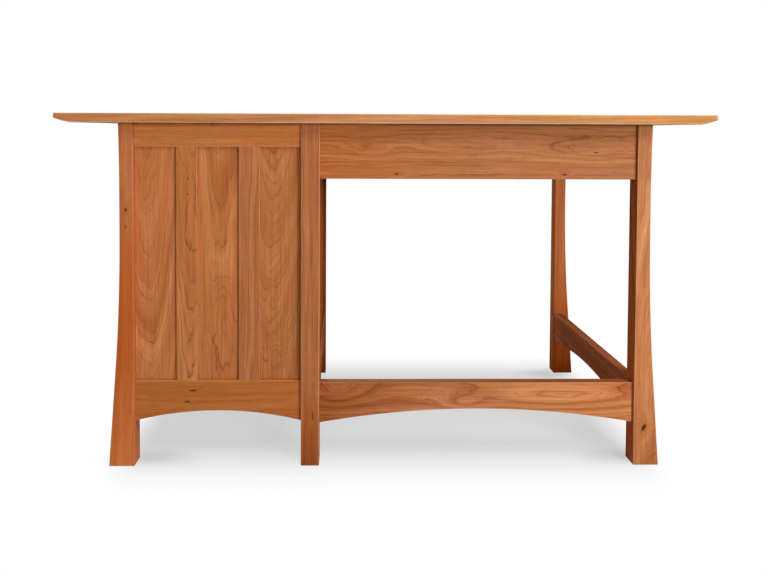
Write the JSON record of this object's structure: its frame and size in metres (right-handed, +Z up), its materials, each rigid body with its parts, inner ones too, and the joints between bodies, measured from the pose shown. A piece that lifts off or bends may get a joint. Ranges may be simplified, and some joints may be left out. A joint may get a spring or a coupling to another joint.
{
  "type": "study desk",
  "caption": "Solid wood study desk with one drawer pedestal, a pencil drawer, flared corner legs and arched stretchers.",
  "frame": {"origin": "on the floor, under the middle of the desktop", "axes": "+X towards the drawer pedestal's end, +Y to the panelled back, -Y to the drawer side where the sitter is, +Z up"},
  "size_m": [1.4, 0.64, 0.762],
  "materials": {
    "cherry_top": "satin oiled cherry, grain along the width",
    "cherry_legs": "satin oiled cherry, upright grain",
    "cherry_rails": "satin oiled cherry, grain along each member",
    "cherry_panels": "satin oiled cherry, upright grain",
    "cherry_fronts": "satin oiled cherry, level grain",
    "cherry_knobs": "turned, oiled cherry",
    "maple": "clear satin maple",
    "birch_plywood": "clear satin birch plywood",
    "steel": "zinc-plated folded steel"
  },
  "bodies": {
    "desk": {"desktop": "cherry_top", "leg_back_pedestal": "cherry_legs", "leg_back_middle": "cherry_legs", "leg_back_open": "cherry_legs", "leg_front_pedestal": "cherry_legs", "leg_front_middle": "cherry_legs", "leg_front_open": "cherry_legs", "back_apron": "cherry_rails", "back_stretcher": "cherry_rails", "side_apron": "cherry_rails", "side_stretcher": "cherry_rails", "back_top_rail": "cherry_rails", "back_bottom_rail": "cherry_rails", "back_muntin_outer": "cherry_rails", "back_muntin_inner": "cherry_rails", "back_panel_outer": "cherry_panels", "back_panel_centre": "cherry_panels", "back_panel_inner": "cherry_panels", "side_top_rail": "cherry_rails", "side_bottom_rail": "cherry_rails", "side_muntins": "cherry_rails", "side_panels": "cherry_panels", "knee_side_top_rail": "cherry_rails", "knee_side_bottom_rail": "cherry_rails", "knee_side_panel": "cherry_panels", "drawer_top_rail": "cherry_rails", "upper_divider": "cherry_rails", "lower_divider": "cherry_rails", "front_bottom_rail": "cherry_rails", "knee_top_rail": "cherry_rails", "knee_lower_rail": "cherry_rails", "slide_cleats": "maple", "drawer_hangers": "maple", "tabletop_buttons": "maple", "top_screws": "steel", "slide_cases": "steel"},
    "upper_drawer": {"upper_drawer_front": "cherry_fronts", "upper_drawer_box": "maple", "upper_drawer_bottom": "birch_plywood", "upper_drawer_knob": "cherry_knobs", "upper_slide_runners": "steel"},
    "upper_carriers": {"upper_slide_carriers": "steel"},
    "middle_drawer": {"middle_drawer_front": "cherry_fronts", "middle_drawer_box": "maple", "middle_drawer_bottom": "birch_plywood", "middle_drawer_knob": "cherry_knobs", "middle_slide_runners": "steel"},
    "middle_carriers": {"middle_slide_carriers": "steel"},
    "file_drawer": {"file_drawer_front": "cherry_fronts", "file_drawer_box": "maple", "file_drawer_bottom": "birch_plywood", "file_drawer_knob": "cherry_knobs", "file_slide_runners": "steel"},
    "file_carriers": {"file_slide_carriers": "steel"},
    "pencil_drawer": {"pencil_drawer_front": "cherry_fronts", "pencil_drawer_box": "maple", "pencil_drawer_bottom": "birch_plywood", "pencil_drawer_knobs": "cherry_knobs", "pencil_slide_runners": "steel"},
    "pencil_carriers": {"pencil_slide_carriers": "steel"}
  },
  "joints": [
    {"name": "upper_drawer_slide", "type": "slide", "parent": "desk", "child": "upper_drawer", "axis": [0, -1, 0], "range_m": [0, 0.43]},
    {"name": "middle_drawer_slide", "type": "slide", "parent": "desk", "child": "middle_drawer", "axis": [0, -1, 0], "range_m": [0, 0.43]},
    {"name": "file_drawer_slide", "type": "slide", "parent": "desk", "child": "file_drawer", "axis": [0, -1, 0], "range_m": [0, 0.43]},
    {"name": "pencil_drawer_slide", "type": "slide", "parent": "desk", "child": "pencil_drawer", "axis": [0, -1, 0], "range_m": [0, 0.43]},
    {"name": "upper_carrier_slide", "type": "slide", "parent": "desk", "child": "upper_carriers", "axis": [0, -1, 0], "range_m": [0, 0.215]},
    {"name": "middle_carrier_slide", "type": "slide", "parent": "desk", "child": "middle_carriers", "axis": [0, -1, 0], "range_m": [0, 0.215]},
    {"name": "file_carrier_slide", "type": "slide", "parent": "desk", "child": "file_carriers", "axis": [0, -1, 0], "range_m": [0, 0.215]},
    {"name": "pencil_carrier_slide", "type": "slide", "parent": "desk", "child": "pencil_carriers", "axis": [0, -1, 0], "range_m": [0, 0.215]}
  ],
  "couplings": [
    {"joint": "upper_carrier_slide", "follows": "upper_drawer_slide", "ratio": 0.5},
    {"joint": "middle_carrier_slide", "follows": "middle_drawer_slide", "ratio": 0.5},
    {"joint": "file_carrier_slide", "follows": "file_drawer_slide", "ratio": 0.5},
    {"joint": "pencil_carrier_slide", "follows": "pencil_drawer_slide", "ratio": 0.5}
  ]
}
